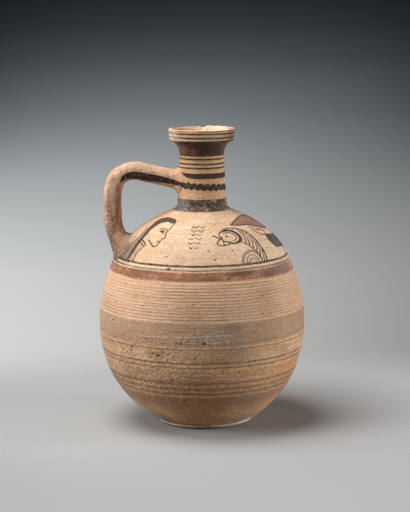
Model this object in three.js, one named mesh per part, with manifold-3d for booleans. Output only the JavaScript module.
// Terracotta jug: a round wheel-thrown jug on a low ring foot, with a narrow neck,
// a grooved collar rim and one pulled handle from the neck to the shoulder.
//
// Millimetres, +Z up. The origin is the middle of the face that the foot stands on,
// and the handle is on the -X side. Every member is a clay piece that the potter
// throws or pulls by itself and lutes to the next one before firing.

import * as THREE from "three";
import { mergeVertices } from "three/addons/utils/BufferGeometryUtils.js";
import Module from "manifold-3d";

const wasm = await Module();
wasm.setup();

// Heights of the members, stacked from the ground up
const FOOT_HEIGHT = 4.4;
const LOWER_BODY_HEIGHT = 83.6;
const UPPER_BODY_HEIGHT = 62.8;
const SHOULDER_HEIGHT = 39.7;
const NECK_HEIGHT = 60.5;
const RIM_HEIGHT = 11;

// Outer radii, from the ground up
const FOOT_RADIUS = 43.2;
const FOOT_WAIST_RADIUS = 42.6;
const BASE_RADIUS = 45.8;
const BELLY_RADIUS = 91.6;
const NECK_FOOT_RADIUS = 25.5;
const NECK_RADIUS = 21.7;
const NECK_WAIST_RADIUS = 19.5;
const NECK_TOP_RADIUS = 25.8;
const RIM_FOOT_RADIUS = 28.3;
const RIM_RADIUS = 29.5;
// How far the shoulder's foot lies inwards of the belly line
const SHOULDER_INSET = 15.3;

// Walls and hollows
const BODY_WALL = 6;
const FLOOR_THICKNESS = 7;
const NECK_WALL = 5;
const MOUTH_RADIUS = 25.4;
const FOOT_HOLLOW_RADIUS = 36.5;
const FOOT_HOLLOW_TAPER = 1.2;
const DOME_COLLAR_HEIGHT = 3.6;

// Levels along the neck, measured from its foot
const NECK_FILLET_HEIGHT = 6.5;
const NECK_WAIST_RISE = 47.5;

// Wheel ridges round the upper body, measured from the belly line
const RIDGE_COUNT = 13;
const RIDGE_PITCH = 2.6;
const RIDGE_START = 17.2;
const RIDGE_DEPTH = 0.5;

// Collar of the rim: turned grooves, and the roundings of its edges
const GROOVE_COUNT = 2;
const GROOVE_PITCH = 3.5;
const GROOVE_START = 4.1;
const GROOVE_DEPTH = 0.7;
const GROOVE_WIDTH = 1.3;
const RIM_EDGE = 0.9;
const FOOT_EDGE = 0.8;

// Handle: an oval section led along a bowed path, with roots that spread on the clay.
// The bow is how far its middle line goes out past its root on the shoulder.
const HANDLE_BOW = 8.14;
const HANDLE_THICKNESS = 16.2;
const HANDLE_WIDTH = 19;
const ARM_ROOT_RISE = 25.6;
const ARM_CREST_RISE = 34.3;
const LIMB_ROOT_RISE = 7.2;
const ARM_FLARE = 5;
const LIMB_FLARE = 4;
const LIMB_FAN = 16;
const LUTING_GAP = 0.3;
const CUTTER_OVERRUN = 8;

// Facets and steps
const SEGMENTS = 52;
const BODY_STEPS = 10;
const BAND_STEPS = 3;
const SHOULDER_STEPS = 8;
const FILLET_STEPS = 3;
const FLARE_STEPS = 5;
const HANDLE_SIDES = 16;
const HANDLE_STEPS = 36;

// Levels of the seats between members
const LOWER_BODY_LEVEL = FOOT_HEIGHT;
const BELLY_LEVEL = LOWER_BODY_LEVEL + LOWER_BODY_HEIGHT;
const SHOULDER_LEVEL = BELLY_LEVEL + UPPER_BODY_HEIGHT;
const NECK_LEVEL = SHOULDER_LEVEL + SHOULDER_HEIGHT;
const RIM_LEVEL = NECK_LEVEL + NECK_HEIGHT;
const JUG_HEIGHT = RIM_LEVEL + RIM_HEIGHT;

// Radii that two members share
const SHOULDER_RADIUS = BELLY_RADIUS - SHOULDER_INSET;
const BORE_RADIUS = NECK_RADIUS - NECK_WALL;
const THROAT_RADIUS = NECK_TOP_RADIUS - NECK_WALL;

// Where the crown of the shoulder bows to, as shares of the shoulder's run and height
const CROWN_INWARD_SHARE = 0.28;
const CROWN_UP_SHARE = 0.65;
// How upright the neck's fillet is at its foot, and where its flare starts to turn out
const FILLET_TURN_SHARE = 0.25;
const FLARE_TURN_SHARE = 0.65;
// How high over the collar's foot the funnel of the mouth turns inwards
const MOUTH_TURN_SHARE = 0.6;

// The handle's middle line. The arm goes from the neck out to the bend: shares of the way
// out to the reach, and of the way up to the crest.
const ARM_SHARES = [
  [0, 0],
  [0.26, 0.43],
  [0.5, 0.8],
  [0.65, 1],
  [0.79, 0.84],
  [0.915, 0.28],
];
// The limb goes from the bend down to the shoulder: shares of the way out from the root to
// the reach, and of the way up from the root to the crest.
const LIMB_SHARES = [
  [0.8, 0.79],
  [1, 0.64],
  [0.98, 0.46],
  [0.92, 0.335],
  [0.68, 0.21],
  [0.2, 0.075],
];
// How far the middle line runs on into the clay, as shares of the root radii
const ARM_END_SHARE = 0.45;
const ARM_END_DROP_SHARE = 0.13;
const LIMB_END_SHARE = 0.9;
const LIMB_END_DROP_SHARE = 1.4;
// How much of the line each root's spread takes up, and how square the section is
const ARM_SPREAD_SHARE = 0.17;
const LIMB_SPREAD_SHARE = 0.3;
const SECTION_POWER = 0.9;
// Where along the line the limb's foot opens into a fan, and where it bends round the jug
const FAN_START_SHARE = 0.74;
const FAN_END_SHARE = 0.87;
const FAN_POWER = 2.2;
const WRAP_START_SHARE = 0.73;
const WRAP_END_SHARE = 0.84;

const CLAY_COLOR = 0xd9ac7c;
const CREAM_COLOR = 0xe6c394;
const BAND_COLOR = 0x8a5b48;

const point = (radius, height) => new THREE.Vector2(radius, height);
const mix = THREE.MathUtils.lerp;

function clay(color) {
  return new THREE.MeshStandardMaterial({ color, roughness: 0.9, metalness: 0 });
}

// A turned member: the outline runs up the outside and down the inside.
function turnedGeometry(outline) {
  const geometry = new THREE.LatheGeometry(outline, SEGMENTS);
  geometry.rotateX(Math.PI / 2);
  return geometry;
}

// Radius of an oval that is widest at the belly line.
function ovalRadius(widest, halfHeight, rise) {
  return widest * Math.sqrt(1 - (rise / halfHeight) ** 2);
}

// Half height of the oval that has the given radius at the given rise.
function ovalHalfHeight(widest, radius, rise) {
  return rise / Math.sqrt(1 - (radius / widest) ** 2);
}

// Points of an oval between two rises from the belly line. A negative rise is below it.
function ovalOutline(widest, halfHeight, fromRise, toRise, steps) {
  const outline = [];
  for (let step = 0; step <= steps; step += 1) {
    const rise = mix(fromRise, toRise, step / steps);
    outline.push(point(ovalRadius(widest, halfHeight, rise), BELLY_LEVEL + rise));
  }
  return outline;
}

// Moves an outline square to itself, to its right, keeping its facets parallel.
function offsetOutline(outline, distance) {
  return outline.map((corner, index) => {
    const before = outline[Math.max(index - 1, 0)];
    const after = outline[Math.min(index + 1, outline.length - 1)];
    const inward = corner.clone().sub(before).normalize();
    const outward = after.clone().sub(corner).normalize();
    if (index === 0) inward.copy(outward);
    if (index === outline.length - 1) outward.copy(inward);
    const along = inward.clone().add(outward).normalize();
    const reach = distance / along.dot(outward);
    return point(corner.x + along.y * reach, corner.y - along.x * reach);
  });
}

function footRing() {
  const outline = [
    point(FOOT_HOLLOW_RADIUS, 0),
    point(FOOT_RADIUS - FOOT_EDGE, 0),
    point(FOOT_RADIUS, FOOT_EDGE),
    point(FOOT_WAIST_RADIUS, FOOT_HEIGHT - FOOT_EDGE),
    point(FOOT_WAIST_RADIUS + FOOT_EDGE, FOOT_HEIGHT),
    point(FOOT_HOLLOW_RADIUS - FOOT_HOLLOW_TAPER, FOOT_HEIGHT),
    point(FOOT_HOLLOW_RADIUS, 0),
  ];
  return turnedGeometry(outline);
}

function lowerBodyOuter() {
  const halfHeight = ovalHalfHeight(BELLY_RADIUS, BASE_RADIUS, LOWER_BODY_HEIGHT);
  return ovalOutline(BELLY_RADIUS, halfHeight, -LOWER_BODY_HEIGHT, 0, BODY_STEPS);
}

function lowerBodyInner() {
  const halfHeight = ovalHalfHeight(BELLY_RADIUS, BASE_RADIUS, LOWER_BODY_HEIGHT) - BODY_WALL;
  const depth = LOWER_BODY_HEIGHT - FLOOR_THICKNESS;
  return ovalOutline(BELLY_RADIUS - BODY_WALL, halfHeight, 0, -depth, BODY_STEPS);
}

function lowerBody() {
  const outline = [
    point(0, LOWER_BODY_LEVEL),
    ...lowerBodyOuter(),
    ...lowerBodyInner(),
    point(0, LOWER_BODY_LEVEL + FLOOR_THICKNESS),
  ];
  return turnedGeometry(outline);
}

function upperBodyHalfHeight() {
  return ovalHalfHeight(BELLY_RADIUS, SHOULDER_RADIUS, UPPER_BODY_HEIGHT);
}

function upperBodySurface(fromRise, toRise, steps) {
  return ovalOutline(BELLY_RADIUS, upperBodyHalfHeight(), fromRise, toRise, steps);
}

// Each ridge is a crest on the oval with a shallow valley over it.
function ridgeOutline() {
  const outline = [];
  const halfHeight = upperBodyHalfHeight();
  for (let ridge = 0; ridge < RIDGE_COUNT; ridge += 1) {
    const crest = RIDGE_START + ridge * RIDGE_PITCH;
    const valley = crest + RIDGE_PITCH / 2;
    outline.push(point(ovalRadius(BELLY_RADIUS, halfHeight, crest), BELLY_LEVEL + crest));
    const valleyRadius = ovalRadius(BELLY_RADIUS, halfHeight, valley) - RIDGE_DEPTH;
    outline.push(point(valleyRadius, BELLY_LEVEL + valley));
  }
  return outline;
}

function upperBody() {
  const ridgesEnd = RIDGE_START + RIDGE_COUNT * RIDGE_PITCH;
  const halfHeight = upperBodyHalfHeight() - BODY_WALL;
  const inside = ovalOutline(BELLY_RADIUS - BODY_WALL, halfHeight, UPPER_BODY_HEIGHT, 0, BODY_STEPS);
  const outline = [
    ...upperBodySurface(0, RIDGE_START, BAND_STEPS).slice(0, BAND_STEPS),
    ...ridgeOutline(),
    ...upperBodySurface(ridgesEnd, UPPER_BODY_HEIGHT, BAND_STEPS),
    ...inside,
    point(BELLY_RADIUS, BELLY_LEVEL),
  ];
  return turnedGeometry(outline);
}

function shoulderCrown() {
  const radius = mix(SHOULDER_RADIUS, NECK_FOOT_RADIUS, CROWN_INWARD_SHARE);
  return point(radius, SHOULDER_LEVEL + SHOULDER_HEIGHT * CROWN_UP_SHARE);
}

function shoulderOuter() {
  const foot = point(SHOULDER_RADIUS, SHOULDER_LEVEL);
  const top = point(NECK_FOOT_RADIUS, NECK_LEVEL);
  return new THREE.QuadraticBezierCurve(foot, shoulderCrown(), top).getPoints(SHOULDER_STEPS);
}

function shoulderInner() {
  const halfHeight = upperBodyHalfHeight() - BODY_WALL;
  const radius = ovalRadius(BELLY_RADIUS - BODY_WALL, halfHeight, UPPER_BODY_HEIGHT);
  const foot = point(radius, SHOULDER_LEVEL);
  const top = point(BORE_RADIUS, NECK_LEVEL - DOME_COLLAR_HEIGHT);
  const slope = point(SHOULDER_RADIUS - NECK_FOOT_RADIUS, SHOULDER_HEIGHT).normalize();
  const crown = shoulderCrown();
  crown.x -= slope.y * BODY_WALL;
  crown.y -= slope.x * BODY_WALL;
  return new THREE.QuadraticBezierCurve(top, crown, foot).getPoints(SHOULDER_STEPS);
}

function shoulder() {
  const outline = [
    ...shoulderOuter(),
    point(BORE_RADIUS, NECK_LEVEL),
    ...shoulderInner(),
    point(SHOULDER_RADIUS, SHOULDER_LEVEL),
  ];
  return turnedGeometry(outline);
}

function neckOuter() {
  const foot = point(NECK_FOOT_RADIUS, NECK_LEVEL);
  const turn = point(NECK_RADIUS, NECK_LEVEL + NECK_FILLET_HEIGHT * FILLET_TURN_SHARE);
  const filletTop = point(NECK_RADIUS, NECK_LEVEL + NECK_FILLET_HEIGHT);
  const waist = point(NECK_WAIST_RADIUS, NECK_LEVEL + NECK_WAIST_RISE);
  const flareHeight = NECK_HEIGHT - NECK_WAIST_RISE;
  const flareTurn = point(NECK_WAIST_RADIUS, waist.y + flareHeight * FLARE_TURN_SHARE);
  const top = point(NECK_TOP_RADIUS, RIM_LEVEL);
  return [
    ...new THREE.QuadraticBezierCurve(foot, turn, filletTop).getPoints(FILLET_STEPS),
    ...new THREE.QuadraticBezierCurve(waist, flareTurn, top).getPoints(FLARE_STEPS),
  ];
}

function neckInner() {
  const waist = point(NECK_WAIST_RADIUS - NECK_WALL, NECK_LEVEL + NECK_WAIST_RISE);
  const flareHeight = NECK_HEIGHT - NECK_WAIST_RISE;
  const turn = point(waist.x, waist.y + flareHeight * FLARE_TURN_SHARE);
  const throat = point(THROAT_RADIUS, RIM_LEVEL);
  return [
    ...new THREE.QuadraticBezierCurve(throat, turn, waist).getPoints(FLARE_STEPS),
    point(BORE_RADIUS, NECK_LEVEL),
  ];
}

function neck() {
  const outline = [...neckOuter(), ...neckInner(), point(NECK_FOOT_RADIUS, NECK_LEVEL)];
  return turnedGeometry(outline);
}

// Outer radius of the collar at a rise over its foot.
function collarRadius(rise) {
  return mix(RIM_FOOT_RADIUS, RIM_RADIUS, rise / RIM_HEIGHT);
}

function collarOuter() {
  const outline = [
    point(collarRadius(0) - RIM_EDGE, RIM_LEVEL),
    point(collarRadius(RIM_EDGE), RIM_LEVEL + RIM_EDGE),
  ];
  for (let groove = 0; groove < GROOVE_COUNT; groove += 1) {
    const middle = GROOVE_START + groove * GROOVE_PITCH;
    const below = middle - GROOVE_WIDTH / 2;
    const above = middle + GROOVE_WIDTH / 2;
    outline.push(point(collarRadius(below), RIM_LEVEL + below));
    outline.push(point(collarRadius(middle) - GROOVE_DEPTH, RIM_LEVEL + middle));
    outline.push(point(collarRadius(above), RIM_LEVEL + above));
  }
  outline.push(point(RIM_RADIUS, JUG_HEIGHT - RIM_EDGE));
  outline.push(point(RIM_RADIUS - RIM_EDGE, JUG_HEIGHT));
  return outline;
}

// The mouth is a funnel from the lip's inner edge down to the throat.
function mouthInner() {
  const edge = point(MOUTH_RADIUS, JUG_HEIGHT);
  const throat = point(THROAT_RADIUS, RIM_LEVEL);
  const turn = point(MOUTH_RADIUS - RIM_EDGE, mix(RIM_LEVEL, JUG_HEIGHT, MOUTH_TURN_SHARE));
  return new THREE.QuadraticBezierCurve(edge, turn, throat).getPoints(FLARE_STEPS);
}

function rim() {
  const outline = [
    ...collarOuter(),
    ...mouthInner(),
    point(collarRadius(0) - RIM_EDGE, RIM_LEVEL),
  ];
  return turnedGeometry(outline);
}

// Radius of the shoulder's outside at a rise over its foot.
function shoulderRadiusAt(rise) {
  const outline = shoulderOuter();
  const level = SHOULDER_LEVEL + rise;
  const above = outline.findIndex((corner) => corner.y >= level);
  const high = outline[Math.max(above, 1)];
  const low = outline[Math.max(above, 1) - 1];
  return mix(low.x, high.x, (level - low.y) / (high.y - low.y));
}

function handlePath() {
  const armRoot = { radius: NECK_WAIST_RADIUS, level: NECK_LEVEL + ARM_ROOT_RISE };
  const limbRoot = {
    radius: shoulderRadiusAt(LIMB_ROOT_RISE),
    level: SHOULDER_LEVEL + LIMB_ROOT_RISE,
  };
  const reach = limbRoot.radius + HANDLE_BOW;
  const crest = NECK_LEVEL + ARM_CREST_RISE;
  const stations = [];
  const add = (radius, level) => stations.push(new THREE.Vector3(-radius, 0, level));
  add(armRoot.radius * ARM_END_SHARE, armRoot.level - armRoot.radius * ARM_END_DROP_SHARE);
  for (const [out, up] of ARM_SHARES) {
    add(mix(armRoot.radius, reach, out), mix(armRoot.level, crest, up));
  }
  for (const [out, up] of LIMB_SHARES) {
    add(mix(limbRoot.radius, reach, out), mix(limbRoot.level, crest, up));
  }
  const drop = HANDLE_THICKNESS * LIMB_END_DROP_SHARE;
  add(limbRoot.radius * LIMB_END_SHARE, limbRoot.level - drop);
  return new THREE.CatmullRomCurve3(stations, false, "centripetal");
}

// How much thicker the section is at a share of the way from the neck to the shoulder.
function rootSpread(share) {
  const arm = Math.max(0, 1 - share / ARM_SPREAD_SHARE);
  const limb = Math.max(0, 1 - (1 - share) / LIMB_SPREAD_SHARE);
  return ARM_FLARE * arm ** 2 + LIMB_FLARE * limb ** 2;
}

// How far the foot of the limb is pressed out sideways, on each side.
function footFan(share) {
  const open = (share - FAN_START_SHARE) / (FAN_END_SHARE - FAN_START_SHARE);
  return LIMB_FAN * Math.min(Math.max(open, 0), 1) ** FAN_POWER;
}

// Bends a corner of the limb's foot round the jug's axis, so that the fan lies on the wall.
function wrapRound(corner, share) {
  const wrapped = THREE.MathUtils.smoothstep(share, WRAP_START_SHARE, WRAP_END_SHARE);
  const run = Math.sqrt(Math.max(corner.x ** 2 - corner.y ** 2, 0));
  corner.x = mix(corner.x, -run, wrapped);
}

// One oval ring of the handle: thickness lies in the plane of the bow, width across it.
function handleRing(path, share) {
  const middle = path.getPointAt(share);
  const along = path.getTangentAt(share);
  const across = new THREE.Vector3(0, 1, 0);
  const outward = new THREE.Vector3().crossVectors(across, along).normalize();
  const spread = rootSpread(share);
  const ring = [];
  for (let side = 0; side < HANDLE_SIDES; side += 1) {
    const turn = (side / HANDLE_SIDES) * Math.PI * 2;
    const bow = Math.sign(Math.cos(turn)) * Math.abs(Math.cos(turn)) ** SECTION_POWER;
    const span = Math.sign(Math.sin(turn)) * Math.abs(Math.sin(turn)) ** SECTION_POWER;
    const corner = middle.clone();
    corner.addScaledVector(outward, (bow * (HANDLE_THICKNESS + spread)) / 2);
    corner.addScaledVector(across, span * ((HANDLE_WIDTH + spread) / 2 + footFan(share)));
    wrapRound(corner, share);
    ring.push(corner);
  }
  return ring;
}

// Skins a row of rings and closes both ends.
function loftGeometry(rings) {
  const sides = rings[0].length;
  const positions = rings.flat().flatMap((corner) => corner.toArray());
  const indices = [];
  for (let row = 0; row + 1 < rings.length; row += 1) {
    for (let side = 0; side < sides; side += 1) {
      const next = (side + 1) % sides;
      const low = row * sides;
      const high = low + sides;
      indices.push(low + side, low + next, high + next);
      indices.push(low + side, high + next, high + side);
    }
  }
  const last = (rings.length - 1) * sides;
  for (let side = 1; side + 1 < sides; side += 1) {
    indices.push(0, side + 1, side);
    indices.push(last, last + side, last + side + 1);
  }
  const geometry = new THREE.BufferGeometry();
  geometry.setAttribute("position", new THREE.Float32BufferAttribute(positions, 3));
  geometry.setIndex(indices);
  return geometry;
}

function toSolid(geometry) {
  const bare = geometry.clone();
  bare.deleteAttribute("normal");
  bare.deleteAttribute("uv");
  const merged = mergeVertices(bare);
  const vertProperties = new Float32Array(merged.attributes.position.array);
  const triVerts = new Uint32Array(merged.index.array);
  return new wasm.Manifold(new wasm.Mesh({ numProp: 3, vertProperties, triVerts }));
}

function toGeometry(solid) {
  const mesh = solid.getMesh();
  const geometry = new THREE.BufferGeometry();
  geometry.setAttribute("position", new THREE.BufferAttribute(mesh.vertProperties, 3));
  geometry.setIndex(new THREE.BufferAttribute(mesh.triVerts, 1));
  geometry.computeVertexNormals();
  return geometry;
}

// The room that the jug's outside takes, with the luting gap round it.
function handleSeat() {
  const surface = [
    ...upperBodySurface(0, UPPER_BODY_HEIGHT, BODY_STEPS),
    ...shoulderOuter().slice(1),
    ...neckOuter().slice(1),
  ];
  const clear = offsetOutline(surface, LUTING_GAP);
  const outline = [
    point(0, clear[0].y - CUTTER_OVERRUN),
    point(clear[0].x, clear[0].y - CUTTER_OVERRUN),
    ...clear,
    point(clear[clear.length - 1].x, RIM_LEVEL + CUTTER_OVERRUN),
    point(0, RIM_LEVEL + CUTTER_OVERRUN),
  ];
  return toSolid(turnedGeometry(outline));
}

function handle() {
  const path = handlePath();
  const rings = [];
  for (let step = 0; step <= HANDLE_STEPS; step += 1) {
    rings.push(handleRing(path, step / HANDLE_STEPS));
  }
  return toGeometry(toSolid(loftGeometry(rings)).subtract(handleSeat()));
}

const jug = new THREE.Group();

function addMember(name, geometry, color) {
  const mesh = new THREE.Mesh(geometry, clay(color));
  mesh.name = name;
  jug.add(mesh);
}

addMember("foot_ring", footRing(), CLAY_COLOR);
addMember("lower_body", lowerBody(), CLAY_COLOR);
addMember("upper_body", upperBody(), CLAY_COLOR);
addMember("shoulder", shoulder(), CREAM_COLOR);
addMember("neck", neck(), BAND_COLOR);
addMember("rim", rim(), CREAM_COLOR);
addMember("handle", handle(), CLAY_COLOR);

export default jug;
